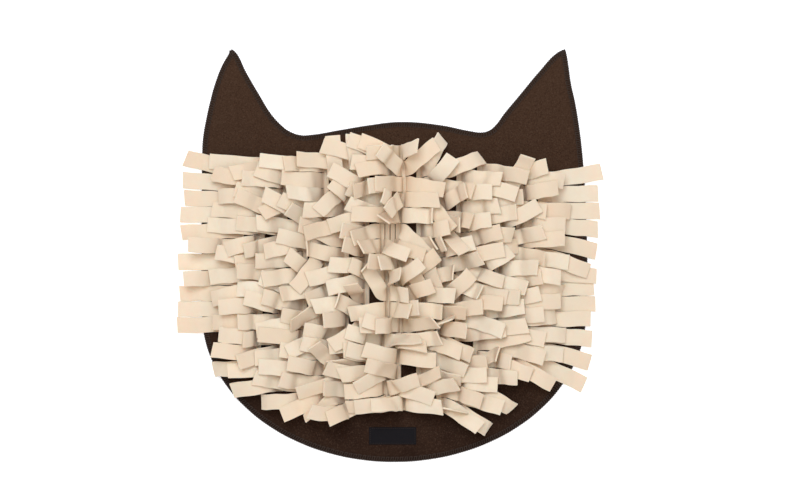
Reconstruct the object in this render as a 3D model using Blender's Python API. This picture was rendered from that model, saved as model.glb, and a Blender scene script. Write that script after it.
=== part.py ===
"""Snuffle mat: a cat's-head felt base with 18 bands of fleece strips sewn on it.

Metres, +Z up.  The base lies on the floor (z = 0), the ears point to +Y.
Every band is one fleece fringe: a narrow heading that is sewn down, cut into
strips on its outer side.  The strips are laid one after another on a height
field of all that lies below them, so each rests a little above the others.
"""
import functools
import math
import random
from collections import namedtuple

import bmesh
import bpy
import numpy as np

# ------------------------------------------------------------------ sizes
BASE_THICK = 0.003
GAP = 0.0003            # air between the base and what is sewn on it
FLEECE = 0.0024
STRIP_WIDE = 0.0163
ROW_PITCH = 0.0172
HEADING = 0.004
ROOT_Z = BASE_THICK + GAP + FLEECE / 2
STEPS = (0.0085, 0.0095, 0.0105, 0.0110, 0.0120, 0.0125)   # one strip, root to tip
STRIP_LONG = 0.064

LABEL_WIDE, LABEL_HIGH, LABEL_THICK = 0.052, 0.019, 0.0007
LABEL_X, LABEL_Y = -0.0015, -0.1990

FELT_COLOUR = (0.045, 0.025, 0.017)
FLEECE_COLOUR = (0.80, 0.70, 0.56)
LABEL_COLOUR = (0.015, 0.016, 0.02)
STRAIGHT = 0.9976       # cosine of the bend that is left out of a solid

# ------------------------------------------------------------------ how strips are laid
SEED = 75
TRIES, MORE_TRIES = 16, 8       # for one strip, and for each time it was put off
PUT_OFF = 3                     # times that a strip without room may be put off
CELL = 0.00035                  # of the height field
HALF_X, HALF_Y = 0.262, 0.250   # of the height field
CLEAR = 0.0006                  # height kept above what lies below
PRINT = 0.0003                  # spacing of the points that a laid strip leaves
COARSE, FINE = 0.0040, 0.0007   # spacings of the points that a strip is tested at
ROOT_FREE, BEND_FREE = 0.0022, 0.0040    # touching runs at the root and the first bend
COLUMN_BACK, COLUMN_HALF = 0.0025, 0.0080       # room kept over a root
COLUMN_FRONT, COLUMN_FRONT_STEEP = 0.0080, 0.0032   # the second where strips start steep
STEEP = 70                               # degrees
TURN_RUN, CROSS_RUN = 0.012, 0.016       # runs over which a strip turns aside
ROLL_FROM, ROLL_RUN = 0.012, 0.030       # run over which it twists
NUDGE = math.radians(5)                  # one lift of a piece that meets another
STEEPEST_ROOT = math.radians(87)
LOWEST, HIGHEST_BACK = math.radians(-80), math.radians(260)
UPRIGHT, OVER = math.radians(90), math.radians(3)
EASY_LIFT = math.radians(62)             # a strip lifted no more than this is kept at once
MOST_YAW = 78
USUAL_TOP, HIGHEST_TOP = 0.044, 0.064
STANDING_LOW, STANDING_HIGH = 3, 10      # droop of the strips that stand, degrees
LOW_CALM = 0.55                          # how much straighter the lowest rows lie
CALM_FROM, CALM_RUN = 0.45, 0.30         # share of a band where that sets in
TAME_STEP, TAME_LEAST = 0.05, 0.1        # each further trial turns a strip less
STRETCH_LOW, STRETCH_HIGH = 0.96, 1.05   # strips differ in length
SIDE_WANDER, CHOSEN_WANDER = 1.5, 3.0    # degrees that set strips stray
INWARD_LOW, INWARD_HIGH = 86, 98         # start of the strips that fall inward, degrees
INWARD_YAW = 0.6                         # inward ones turn less
QUIET = 0.3                              # turn left to a strip on its last trial

# lean: how far the seam moves outward from one row to the next
Band = namedtuple("Band", "side seam_x top_y rows lean")
BANDS = [
    Band(-1, -0.1670, 0.0960, 11, 0.0009),
    Band(-1, -0.1445, 0.1000, 14, 0.0006),
    Band(-1, -0.1215, 0.0995, 15, 0.0004),
    Band(-1, -0.0990, 0.0990, 16, 0.0002),
    Band(-1, -0.0768, 0.1000, 16, 0.0),
    Band(-1, -0.0546, 0.1030, 17, 0.0),
    Band(-1, -0.0322, 0.1100, 17, 0.0),
    Band(-1, -0.0121, 0.1130, 17, 0.0),
    Band(-1, -0.0064, 0.1130, 17, 0.0),
    Band(1, 0.0042, 0.1130, 17, 0.0),
    Band(1, 0.0099, 0.1130, 17, 0.0),
    Band(1, 0.0295, 0.0948, 16, 0.0),
    Band(1, 0.0515, 0.0928, 16, 0.0),
    Band(1, 0.0738, 0.0858, 16, -0.0002),
    Band(1, 0.0965, 0.0930, 15, -0.0004),
    Band(1, 0.1192, 0.0880, 14, -0.0006),
    Band(1, 0.1420, 0.0855, 13, -0.0008),
    Band(1, 0.1650, 0.0845, 13, -0.0011),
]
MIDDLE = (8, 9)          # in each row a strip of one of these falls inward over the centre
MEANDER, MEANDER_TURN = 0.0036, 0.85     # sway of the four middle seams, radians a row
MEANDERS_WITHIN = 0.015
STANDING_ROWS = range(1, 11)
STANDING_SHARE = 0.35    # of the middle strips that don't fall inward
STRAY_SHARE = 0.07       # of the strips of the bands beside them
STRAY_BANDS = (5, 6, 11, 12, 13)

# how strips lie, by how many bands they are from the side; degrees
Habit = namedtuple("Habit", "yaw start_low start_high droop_low droop_high hold roll drift")
HABITS = [
    Habit(2, 8, 15, 12, 20, 0, 1, 1.5),
    Habit(7, 52, 76, 18, 38, 1, 6, 5),
    Habit(12, 52, 78, 20, 42, 1, 10, 7),
    Habit(18, 52, 78, 20, 45, 1, 14, 8),
    Habit(25, 52, 78, 20, 48, 2, 18, 9),
    Habit(31, 50, 78, 20, 50, 2, 22, 9),
    Habit(36, 52, 80, 18, 45, 2, 28, 9),
    Habit(40, 80, 87, 22, 52, 1, 30, 9),
    Habit(38, 82, 87, 22, 52, 1, 32, 9),
]
# yaw of the strips at the two sides, top row first, degrees
SIDE_YAW = {
    0: (12, 6, 3, 1, 0, 1, -1, -2, 0, 1, -1),
    17: (8, 3, 0, -5, -13, -22, -6, -2, -1, -3, -6, -14, -24),
}
# strips that shape the top and bottom edges: how they fall, degrees
Chosen = namedtuple("Chosen", "band row fall yaw droop hold")
CHOSEN = [
    Chosen(4, 0, "out", 4, 30, 1),
    Chosen(5, 0, "out", 3, 30, 1),
    Chosen(5, 1, "out", 84, 26, 1),
    Chosen(6, 0, "out", 12, 30, 1),
    Chosen(6, 1, "out", 82, 30, 1),
    Chosen(7, 0, "out", 26, 32, 1),
    Chosen(8, 0, "out", 22, 34, 2),
    Chosen(9, 0, "in", 6, 40, 1),
    Chosen(10, 0, "up", 20, 10, 1),
    Chosen(10, 1, "out", 44, 28, 1),
    Chosen(11, 0, "out", 56, 28, 1),
    Chosen(11, 1, "out", 50, 28, 1),
    Chosen(12, 0, "out", 22, 28, 1),
    Chosen(13, 0, "out", -6, 28, 1),
    Chosen(14, 0, "out", -14, 28, 1),
    Chosen(15, 1, "out", 62, 24, 2),
    Chosen(16, 0, "out", -3, 24, 1),
    Chosen(2, 14, "out", -10, 24, 1),
    Chosen(3, 15, "out", -6, 26, 1),
    Chosen(4, 15, "out", -24, 32, 1),
    Chosen(6, 16, "out", -14, 34, 1),
    Chosen(7, 16, "out", -6, 32, 1),
    Chosen(8, 16, "out", -4, 32, 1),
    Chosen(9, 16, "in", 3, 40, 1),
    Chosen(10, 16, "out", -6, 30, 1),
    Chosen(11, 15, "out", -12, 26, 1),
    Chosen(12, 15, "out", -34, 34, 1),
    Chosen(13, 15, "out", -30, 32, 1),
    Chosen(14, 14, "out", -30, 28, 1),
    Chosen(15, 12, "out", -26, 26, 1),
    Chosen(15, 13, "out", -24, 24, 1),
    Chosen(16, 12, "out", -24, 22, 1),
]
CHOSEN_AT = {(c.band, c.row): c for c in CHOSEN}

# a strip being laid, and the way it is tried
Strip = namedtuple("Strip", "band row fold start knots again stands")
Way = namedtuple("Way", "yaw drift roll droop hold stretch")

# ------------------------------------------------------------------ edge of the felt
OUTLINE_RIGHT = [
    (0.2105, 0.0610), (0.2066, 0.1166), (0.2033, 0.1431), (0.1989, 0.1696),
    (0.1945, 0.1895), (0.1917, 0.2094), (0.1900, 0.2200), (0.1884, 0.2271),
    (0.1801, 0.2227), (0.1613, 0.2028), (0.1392, 0.1762), (0.1227, 0.1564),
    (0.1127, 0.1431), (0.1055, 0.1372), (0.0965, 0.1350), (0.0840, 0.1365),
]
OUTLINE_TOP = [
    (0.0508, 0.1431), (0.0066, 0.1466), (-0.0265, 0.1431), (-0.0597, 0.1376),
    (-0.0900, 0.1325), (-0.1030, 0.1320),
]
OUTLINE_LEFT = [
    (-0.1171, 0.1370), (-0.1260, 0.1440), (-0.1370, 0.1564), (-0.1492, 0.1762),
    (-0.1646, 0.2028), (-0.1746, 0.2227), (-0.1790, 0.2270), (-0.1830, 0.2200),
    (-0.1890, 0.2094), (-0.1967, 0.1895), (-0.2022, 0.1696), (-0.2066, 0.1497),
    (-0.2100, 0.1298), (-0.2110, 0.1099), (-0.2115, 0.0610), (-0.2115, 0.0000),
]
EAR_TIPS = ((0.1884, 0.2271), (-0.1790, 0.2270))
CHIN_HALF_WIDE, CHIN_DEEP, CHIN_TOP_Y = 0.2113, 0.1640, -0.0630
CHIN_POINTS, CHIN_POINTS_FIELD = 18, 30


def head_outline(chin_points):
    """Points round the cat's head, seen from above."""
    chin = []
    for k in range(chin_points + 1):
        a = math.pi + math.pi * k / chin_points
        chin.append((CHIN_HALF_WIDE * math.cos(a), CHIN_TOP_Y + CHIN_DEEP * math.sin(a)))
    return OUTLINE_RIGHT + OUTLINE_TOP + OUTLINE_LEFT + chin


# ------------------------------------------------------------------ laying
def smooth(x):
    """0 to 1, gentle at both ends."""
    x = min(1.0, max(0.0, x))
    return x * x * (3 - 2 * x)


def grow(patch):
    """Spread every height one cell to all sides."""
    out = patch.copy()
    for dx in (-1, 0, 1):
        for dy in (-1, 0, 1):
            out = np.maximum(out, np.roll(np.roll(patch, dx, 0), dy, 1))
    return out


class Field:
    """Heights of all that has been laid, and the spots kept free."""

    def __init__(self, outline):
        self.nx, self.ny = int(2 * HALF_X / CELL), int(2 * HALF_Y / CELL)
        xs = (np.arange(self.nx) + 0.5) * CELL - HALF_X
        inside = np.zeros((self.nx, self.ny), bool)
        for row in range(self.ny):
            y = (row + 0.5) * CELL - HALF_Y
            cuts = sorted(
                x1 + (x2 - x1) * (y - y1) / (y2 - y1)
                for (x1, y1), (x2, y2) in zip(outline, outline[1:] + outline[:1])
                if (y1 > y) != (y2 > y)
            )
            for left, right in zip(cuts[::2], cuts[1::2]):
                inside[(xs > left) & (xs < right), row] = True
        self.height = grow(np.where(inside, BASE_THICK, 0.0))
        self.kept = np.zeros((self.nx, self.ny))

    def cells(self, p):
        i = np.clip(((p[..., 0] + HALF_X) / CELL).astype(int), 1, self.nx - 2)
        j = np.clip(((p[..., 1] + HALF_Y) / CELL).astype(int), 1, self.ny - 2)
        return i, j

    def under(self, p):
        i, j = self.cells(p)
        return self.height[i, j] + self.kept[i, j]

    def stamp(self, p):
        p = p.reshape(-1, 3)
        p = p[np.argsort(p[:, 2])]
        i, j = self.cells(p)
        i0, j0 = i.min() - 1, j.min() - 1
        patch = np.zeros((i.max() - i0 + 2, j.max() - j0 + 2))
        patch[i - i0, j - j0] = p[:, 2]
        part = self.height[i0:i0 + patch.shape[0], j0:j0 + patch.shape[1]]
        np.maximum(part, grow(patch), out=part)

    def keep(self, root, b, amount):
        """Close (1) or free again (-1) the column over a strip that is still to rise."""
        side = BANDS[b].side
        front = COLUMN_FRONT_STEEP if habit_of(b).start_low > STEEP else COLUMN_FRONT
        x0, x1 = sorted((root[0] - side * COLUMN_BACK, root[0] + side * front))
        i0, i1 = (int((x + HALF_X) / CELL) for x in (x0, x1))
        j0, j1 = (int((root[1] + d + HALF_Y) / CELL) for d in (-COLUMN_HALF, COLUMN_HALF))
        self.kept[i0:i1, j0:j1] += amount


def cross(a, b):
    x = a[1] * b[2] - a[2] * b[1]
    y = a[2] * b[0] - a[0] * b[2]
    return np.array([x, y, a[0] * b[1] - a[1] * b[0]])


def unit(a):
    return a / math.sqrt(a[0] ** 2 + a[1] ** 2 + a[2] ** 2)


def along_of(pitch, yaw, side):
    """Where a strip runs: pitch above the floor, yaw away from square to its seam."""
    flat = math.cos(pitch)
    return np.array([side * flat * math.cos(yaw), flat * math.sin(yaw), math.sin(pitch)])


def across_of(yaw, side, roll, along):
    """Where its width runs."""
    flat = np.array([-math.sin(yaw), side * math.cos(yaw), 0.0])
    flat = unit(flat - along * np.dot(flat, along))
    return flat * math.cos(roll) + cross(along, flat) * math.sin(roll)


def section(centre, along, across):
    """Four corners of the strip, square to its run."""
    half = across * STRIP_WIDE / 2
    thick = cross(along, across) * FLEECE / 2
    low, high = centre - thick, centre + thick
    return np.array([low - half, low + half, high + half, high - half])


def length(a, b):
    """Length of the piece from section a to section b."""
    d = (b[0] + b[2] - a[0] - a[2]) / 2
    return math.sqrt(d[0] ** 2 + d[1] ** 2 + d[2] ** 2)


@functools.lru_cache(maxsize=None)
def steps_of(n, m):
    """Shares of the way along, across and through a piece."""
    t = np.linspace(0, 1, n)[:, None, None, None]
    s = np.linspace(0, 1, m)[None, :, None, None]
    h = np.linspace(0, 1, 3)[None, None, :, None]
    return t, s, h


def samples(a, b, spacing):
    """Points all over the piece from section a to section b."""
    n = max(3, int(length(a, b) / spacing) + 1)
    m = max(3, int(STRIP_WIDE / spacing) + 1)
    t, s, h = steps_of(n, m)
    low = (a[0] * (1 - t) + b[0] * t) * (1 - s) + (a[1] * (1 - t) + b[1] * t) * s
    high = (a[3] * (1 - t) + b[3] * t) * (1 - s) + (a[2] * (1 - t) + b[2] * t) * s
    return low * (1 - h) + high * h


def is_clear(field, a, b, free):
    """True if the piece from a to b lies above everything, but for a free run at a."""
    for spacing in (COARSE, FINE):
        q = samples(a, b, spacing)
        low = q[..., 2] - field.under(q) < CLEAR
        if free:
            low[:int(math.ceil(free / length(a, b) * (len(low) - 1)))] = False
        if low.any():
            return False
    return True


def seam_of(band, row):
    """Where a row's strip leaves the seam of its band."""
    sway = MEANDER * math.sin(MEANDER_TURN * row) if abs(band.seam_x) < MEANDERS_WITHIN else 0.0
    return band.seam_x + band.side * band.lean * row + sway


def root_of(band, row):
    return np.array([seam_of(band, row), band.top_y - row * ROW_PITCH, ROOT_Z])


def rise(root, side, pitch):
    """The root and the first knot of a strip."""
    along = along_of(pitch, 0.0, side)
    knots = [(root, np.array([side, 0.0, 0.0]), np.array([0.0, side, 0.0]))]
    knots.append((root + along * STEPS[0], along, across_of(0.0, side, 0.0, along)))
    return knots


def march(field, strip, way, top):
    """The strip's knots, each as low as what is below lets it, and its greatest lift."""
    side = BANDS[strip.band].side
    knots = list(strip.knots)
    centre = knots[-1][0]
    last = section(*knots[-1])
    run, pitch, lift = STEPS[0], strip.start, 0.0
    for k, step in enumerate(STEPS[1:], 1):
        ds = step * way.stretch
        drift = way.drift * (run + ds) / STRIP_LONG
        yaw = way.yaw * smooth((run + ds / 2 - STEPS[0]) / TURN_RUN) + drift
        yaw_across = way.yaw * smooth((run + ds - STEPS[0]) / CROSS_RUN) + drift
        roll = way.roll * smooth((run + ds - ROLL_FROM) / ROLL_RUN)
        want = pitch if k <= way.hold else pitch - strip.fold * way.droop
        want = max(want, LOWEST) if strip.fold > 0 else min(want, HIGHEST_BACK)
        while True:
            if strip.fold * (want - UPRIGHT) > OVER:
                return None
            along = along_of(want, yaw, side)
            across = across_of(yaw_across, side, roll, along)
            goal = centre + along * ds
            here = section(goal, along, across)
            if goal[2] < top and is_clear(field, last, here, BEND_FREE if k == 1 else 0.0):
                break
            want += strip.fold * NUDGE
        lift = max(lift, abs(want - pitch))
        knots.append((goal, along, across))
        centre, last, pitch, run = goal, here, want, run + ds
    return knots, lift


def lay_heading(field, band):
    """Press a band's sewn-down heading into the field."""
    for row in range(band.rows):
        seam = seam_of(band, row)
        x0, x1 = sorted((seam, seam - band.side * HEADING))
        y = band.top_y - row * ROW_PITCH
        half = ROW_PITCH / 2
        xs, ys = np.meshgrid(np.arange(x0, x1, CELL), np.arange(y - half, y + half, CELL))
        field.stamp(np.stack([xs, ys, np.full_like(xs, ROOT_Z + FLEECE / 2)], -1))


def habit_of(b):
    return HABITS[min(b, len(BANDS) - 1 - b)]


def start_strip(field, b, row, fall, rng):
    """A strip's rise from its root, lifted until it clears what is laid."""
    band, habit = BANDS[b], habit_of(b)
    root = root_of(band, row)
    start = math.radians(rng.uniform(habit.start_low, habit.start_high))
    fold = -1 if fall == "in" else 1
    if fall != "out":
        start = math.radians(rng.uniform(INWARD_LOW, INWARD_HIGH))
    knots = rise(root, band.side, start)
    field.keep(root, b, -1.0)
    while not is_clear(field, section(*knots[0]), section(*knots[1]), ROOT_FREE):
        start += NUDGE
        knots = rise(root, band.side, start)
        if start > STEEPEST_ROOT:
            break
    field.keep(root, b, 1.0)
    return Strip(b, row, fold, start, knots, 0, fall == "up")


def way_of(strip, trial, rng):
    """One way to lay a strip, calmer with each trial."""
    band, habit = BANDS[strip.band], habit_of(strip.band)
    calm = 1 - LOW_CALM * smooth((strip.row / band.rows - CALM_FROM) / CALM_RUN)
    tame = max(TAME_LEAST, 1 - TAME_STEP * trial)
    yaw = max(-MOST_YAW, min(MOST_YAW, rng.gauss(0, habit.yaw * calm * tame)))
    drift = rng.gauss(0, habit.drift * tame)
    roll = rng.gauss(0, habit.roll * tame)
    droop = rng.uniform(habit.droop_low, habit.droop_high)
    hold = rng.randint(0, habit.hold)
    stretch = rng.uniform(STRETCH_LOW, STRETCH_HIGH)
    if strip.band in SIDE_YAW:
        yaw = SIDE_YAW[strip.band][strip.row] + rng.gauss(0, SIDE_WANDER)
    if (strip.band, strip.row) in CHOSEN_AT:
        chosen = CHOSEN_AT[strip.band, strip.row]
        yaw = chosen.yaw + rng.gauss(0, CHOSEN_WANDER)
        droop = chosen.droop + rng.gauss(0, CHOSEN_WANDER)
        hold = chosen.hold
        drift = 0.0
    elif strip.stands:
        droop = rng.uniform(STANDING_LOW, STANDING_HIGH)
        yaw, drift, roll = yaw * QUIET, drift * QUIET, roll * QUIET
    if strip.fold < 0:
        yaw *= INWARD_YAW
    if strip.again:
        hold = rng.randint(0, strip.again)
    if strip.again == PUT_OFF:
        yaw, drift, roll = yaw * QUIET, drift * QUIET, roll * QUIET
    yaw, drift, roll, droop = (math.radians(a) for a in (yaw, drift, roll, droop))
    return Way(yaw, drift, roll, droop, hold, stretch)


def best_lay(field, strip, rng):
    """The least lifted of some ways to lay a strip, or None."""
    best = None
    top = HIGHEST_TOP if strip.again or strip.stands or strip.fold < 0 else USUAL_TOP
    for trial in range(TRIES + MORE_TRIES * strip.again):
        got = march(field, strip, way_of(strip, trial, rng), top)
        if got and (best is None or got[1] < best[1]):
            best = got
        if best and best[1] < EASY_LIFT:
            break
    return best


def falls_of(rng):
    """How strips fall that don't fall out from their seam: in over it, or up on edge."""
    falls = {}
    for row in range(BANDS[MIDDLE[0]].rows):
        inward, other = rng.sample(MIDDLE, 2)
        falls[inward, row] = "in"
        if row in STANDING_ROWS and rng.random() < STANDING_SHARE:
            falls[other, row] = "up"
    for b in STRAY_BANDS:
        for row in STANDING_ROWS:
            if rng.random() < STRAY_SHARE:
                falls[b, row] = "up"
    falls.update({(c.band, c.row): c.fall for c in CHOSEN})
    return falls


def band_groups():
    """Bands in the order that they are laid: from both sides to the middle."""
    pairs = [[k, len(BANDS) - 1 - k] for k in range(MIDDLE[1])]
    alone = [[b] for pair in pairs for b in pair if b not in MIDDLE]
    return alone + [list(MIDDLE)]


def lay_strips():
    """All strips of all bands: {(band, row): knots}, a knot being (centre, along, across)."""
    rng = random.Random(SEED)
    field = Field(head_outline(CHIN_POINTS_FIELD))
    falls = falls_of(rng)
    for b, band in enumerate(BANDS):
        lay_heading(field, band)
        for row in range(band.rows):
            field.keep(root_of(band, row), b, 1.0)
    laid = {}
    for group in band_groups():
        waiting = []
        for b in group:
            for row in range(BANDS[b].rows):
                waiting.append(start_strip(field, b, row, falls.get((b, row), "out"), rng))
        for strip in waiting:
            field.stamp(samples(section(*strip.knots[0]), section(*strip.knots[1]), PRINT))
        rng.shuffle(waiting)
        waiting.sort(key=lambda strip: -strip.fold)
        while waiting:
            strip = waiting.pop(0)
            root = strip.knots[0][0]
            field.keep(root, strip.band, -1.0)
            best = best_lay(field, strip, rng)
            if best:
                parts = [section(*knot) for knot in best[0]]
                for p, q in zip(parts[1:], parts[2:]):
                    field.stamp(samples(p, q, PRINT))
                laid[strip.band, strip.row] = best[0]
            elif strip.again < PUT_OFF:
                field.keep(root, strip.band, 1.0)
                waiting.append(strip._replace(again=strip.again + 1))
    return laid


# ------------------------------------------------------------------ solids
def clear_scene():
    for item in list(bpy.data.objects):
        bpy.data.objects.remove(item, do_unlink=True)


def plain_material(name, colour, roughness):
    material = bpy.data.materials.new(name)
    material.use_nodes = True
    shader = material.node_tree.nodes["Principled BSDF"]
    shader.inputs["Base Color"].default_value = (*colour, 1.0)
    shader.inputs["Roughness"].default_value = roughness
    material.diffuse_color = (*colour, 1.0)
    return material


def add_object(collection, name, data, material):
    item = bpy.data.objects.new(name, data)
    data.materials.append(material)
    collection.objects.link(item)
    return item


def base_curve():
    """The flat felt head: a filled 2D outline with a thickness."""
    curve = bpy.data.curves.new("base", "CURVE")
    curve.dimensions = "2D"
    curve.fill_mode = "BOTH"
    curve.extrude = BASE_THICK / 2
    curve.resolution_u = 2
    outline = head_outline(CHIN_POINTS)
    spline = curve.splines.new("BEZIER")
    spline.bezier_points.add(len(outline) - 1)
    for point, (x, y) in zip(spline.bezier_points, outline):
        point.co = (x, y, 0.0)
        kind = "VECTOR" if (x, y) in EAR_TIPS else "AUTO"
        point.handle_left_type = point.handle_right_type = kind
    spline.use_cyclic_u = True
    return curve


def box(name, x, y, z, size):
    mesh = bpy.data.meshes.new(name)
    bm = bmesh.new()
    bmesh.ops.create_cube(bm, size=1.0)
    bmesh.ops.scale(bm, vec=size, verts=bm.verts)
    bmesh.ops.translate(bm, vec=(x, y, z), verts=bm.verts)
    bm.to_mesh(mesh)
    bm.free()
    return mesh


def thin_out(knots):
    """Leave out knots on a straight, untwisted run."""
    kept = [knots[0], knots[1]]
    for here, after in zip(knots[2:], knots[3:]):
        bend = np.dot(kept[-1][1], after[1])
        twist = np.dot(kept[-1][2], after[2])
        if bend < STRAIGHT or twist < STRAIGHT or np.dot(here[1], after[1]) < STRAIGHT:
            kept.append(here)
    return kept + [knots[-1]]


def heading_points(bm, band):
    """The heading's points, low and high, down its inner edge and down its cut edge."""
    low, high = BASE_THICK + GAP, BASE_THICK + GAP + FLEECE
    inner, cut = [], []
    for row in range(band.rows):
        x, y = seam_of(band, row), band.top_y - row * ROW_PITCH
        for edge, out in ((inner, x - band.side * HEADING), (cut, x)):
            for end in (y + STRIP_WIDE / 2, y - STRIP_WIDE / 2):
                edge.append((bm.verts.new((out, end, low)), bm.verts.new((out, end, high))))
    return inner, cut


def wall(bm, a, b):
    """An upright face between two pairs of points."""
    bm.faces.new((a[0], a[1], b[1], b[0]))


def add_strip(bm, root, knots):
    """A strip from its root's four corners to its closed tip."""
    ring = root
    for knot in thin_out(knots)[1:]:
        fresh = [bm.verts.new(p) for p in section(*knot)]
        for k in range(4):
            after = (k + 1) % 4
            bm.faces.new((ring[k], ring[after], fresh[after], fresh[k]))
        ring = fresh
    bm.faces.new(ring)


def band_mesh(name, band, strips):
    """A heading with its strips, one closed body.  strips: {row: knots}"""
    mesh = bpy.data.meshes.new(name)
    bm = bmesh.new()
    inner, cut = heading_points(bm, band)
    for k in range(len(cut) - 1):
        for level in (0, 1):
            corners = (inner[k], inner[k + 1], cut[k + 1], cut[k])
            bm.faces.new([corner[level] for corner in corners])
        wall(bm, inner[k], inner[k + 1])
        row, between = divmod(k, 2)
        if between or row not in strips:
            wall(bm, cut[k], cut[k + 1])
        else:
            first, second = (cut[k], cut[k + 1])[::-band.side]
            add_strip(bm, [first[0], second[0], second[1], first[1]], strips[row])
    wall(bm, inner[0], cut[0])
    wall(bm, inner[-1], cut[-1])
    bmesh.ops.recalc_face_normals(bm, faces=bm.faces)
    bm.to_mesh(mesh)
    bm.free()
    return mesh


def build():
    clear_scene()
    collection = bpy.data.collections.new("snuffle_mat")
    bpy.context.scene.collection.children.link(collection)
    felt = plain_material("felt", FELT_COLOUR, 0.95)
    fleece = plain_material("fleece", FLEECE_COLOUR, 0.9)
    woven = plain_material("woven_label", LABEL_COLOUR, 0.8)

    base = add_object(collection, "base", base_curve(), felt)
    base.location.z = BASE_THICK / 2
    z = BASE_THICK + GAP + LABEL_THICK / 2
    size = (LABEL_WIDE, LABEL_HIGH, LABEL_THICK)
    add_object(collection, "label", box("label", LABEL_X, LABEL_Y, z, size), woven)

    laid = lay_strips()
    for number, band in enumerate(BANDS):
        name = f"fringe_{number + 1:02d}"
        strips = {row: laid[number, row] for row in range(band.rows) if (number, row) in laid}
        add_object(collection, name, band_mesh(name, band, strips), fleece)


build()
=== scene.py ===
"""Snuffle mat: the looks of a cat's-head felt base with 18 bands of fleece strips.

The strips lie where the frame's solids lie, because the same tables and the
same laying functions place them.  Each then becomes a smooth, soft-edged
ribbon.  Metres, +Z up, ears towards +Y.
"""
import functools
import math
import random
from collections import namedtuple

import bmesh
import bpy
import numpy as np
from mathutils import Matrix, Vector
from mathutils.geometry import delaunay_2d_cdt


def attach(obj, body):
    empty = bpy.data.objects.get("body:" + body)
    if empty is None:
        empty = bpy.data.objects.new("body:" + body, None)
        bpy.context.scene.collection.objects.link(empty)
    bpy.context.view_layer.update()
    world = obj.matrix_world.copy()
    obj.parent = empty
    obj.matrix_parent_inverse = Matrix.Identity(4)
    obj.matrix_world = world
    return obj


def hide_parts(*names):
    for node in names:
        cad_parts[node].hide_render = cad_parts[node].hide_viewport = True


# ---- sizes
BASE_THICK = 0.003
GAP = 0.0003  # air between the base and what is sewn on it
FLEECE = 0.0024
STRIP_WIDE = 0.0163
ROW_PITCH = 0.0172
HEADING = 0.004
ROOT_Z = BASE_THICK + GAP + FLEECE / 2
STEPS = (0.0085, 0.0095, 0.0105, 0.0110, 0.0120, 0.0125)  # one strip, root to tip
STRIP_LONG = 0.064

LABEL_WIDE, LABEL_HIGH, LABEL_THICK = 0.052, 0.019, 0.0007
LABEL_X, LABEL_Y = -0.0015, -0.1990


# ---- how strips are laid
SEED = 75
TRIES, MORE_TRIES = 16, 8  # for one strip, and for each time it was put off
PUT_OFF = 3  # times that a strip without room may be put off
CELL = 0.00035  # of the height field
HALF_X, HALF_Y = 0.262, 0.250  # of the height field
CLEAR = 0.0006  # height kept above what lies below
PRINT = 0.0003  # spacing of the points that a laid strip leaves
COARSE, FINE = 0.0040, 0.0007  # spacings of the points that a strip is tested at
ROOT_FREE, BEND_FREE = 0.0022, 0.0040  # touching runs at the root and the first bend
COLUMN_BACK, COLUMN_HALF = 0.0025, 0.0080  # room kept over a root
COLUMN_FRONT, COLUMN_FRONT_STEEP = 0.0080, 0.0032  # the second where strips start steep
STEEP = 70  # degrees
TURN_RUN, CROSS_RUN = 0.012, 0.016  # runs over which a strip turns aside
ROLL_FROM, ROLL_RUN = 0.012, 0.030  # run over which it twists
NUDGE = math.radians(5)  # one lift of a piece that meets another
STEEPEST_ROOT = math.radians(87)
LOWEST, HIGHEST_BACK = math.radians(-80), math.radians(260)
UPRIGHT, OVER = math.radians(90), math.radians(3)
EASY_LIFT = math.radians(62)  # a strip lifted no more than this is kept at once
MOST_YAW = 78
USUAL_TOP, HIGHEST_TOP = 0.044, 0.064
STANDING_LOW, STANDING_HIGH = 3, 10  # droop of the strips that stand, degrees
LOW_CALM = 0.55  # how much straighter the lowest rows lie
CALM_FROM, CALM_RUN = 0.45, 0.30  # share of a band where that sets in
TAME_STEP, TAME_LEAST = 0.05, 0.1  # each further trial turns a strip less
STRETCH_LOW, STRETCH_HIGH = 0.96, 1.05  # strips differ in length
SIDE_WANDER, CHOSEN_WANDER = 1.5, 3.0  # degrees that set strips stray
INWARD_LOW, INWARD_HIGH = 86, 98  # start of the strips that fall inward, degrees
INWARD_YAW = 0.6  # inward ones turn less
QUIET = 0.3  # turn left to a strip on its last trial

# lean: how far the seam moves outward from one row to the next
Band = namedtuple("Band", "side seam_x top_y rows lean")
BANDS = [Band(*row) for row in (
    (-1, -0.1670, 0.0960, 11, 0.0009), (-1, -0.1445, 0.1000, 14, 0.0006),
    (-1, -0.1215, 0.0995, 15, 0.0004), (-1, -0.0990, 0.0990, 16, 0.0002),
    (-1, -0.0768, 0.1000, 16, 0.0), (-1, -0.0546, 0.1030, 17, 0.0),
    (-1, -0.0322, 0.1100, 17, 0.0), (-1, -0.0121, 0.1130, 17, 0.0),
    (-1, -0.0064, 0.1130, 17, 0.0), (1, 0.0042, 0.1130, 17, 0.0),
    (1, 0.0099, 0.1130, 17, 0.0), (1, 0.0295, 0.0948, 16, 0.0),
    (1, 0.0515, 0.0928, 16, 0.0), (1, 0.0738, 0.0858, 16, -0.0002),
    (1, 0.0965, 0.0930, 15, -0.0004), (1, 0.1192, 0.0880, 14, -0.0006),
    (1, 0.1420, 0.0855, 13, -0.0008), (1, 0.1650, 0.0845, 13, -0.0011),
)]
MIDDLE = (8, 9)  # in each row a strip of one of these falls inward over the centre
MEANDER, MEANDER_TURN = 0.0036, 0.85  # sway of the four middle seams, radians a row
MEANDERS_WITHIN = 0.015
STANDING_ROWS = range(1, 11)
STANDING_SHARE = 0.35  # of the middle strips that don't fall inward
STRAY_SHARE = 0.07  # of the strips of the bands beside them
STRAY_BANDS = (5, 6, 11, 12, 13)

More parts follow.
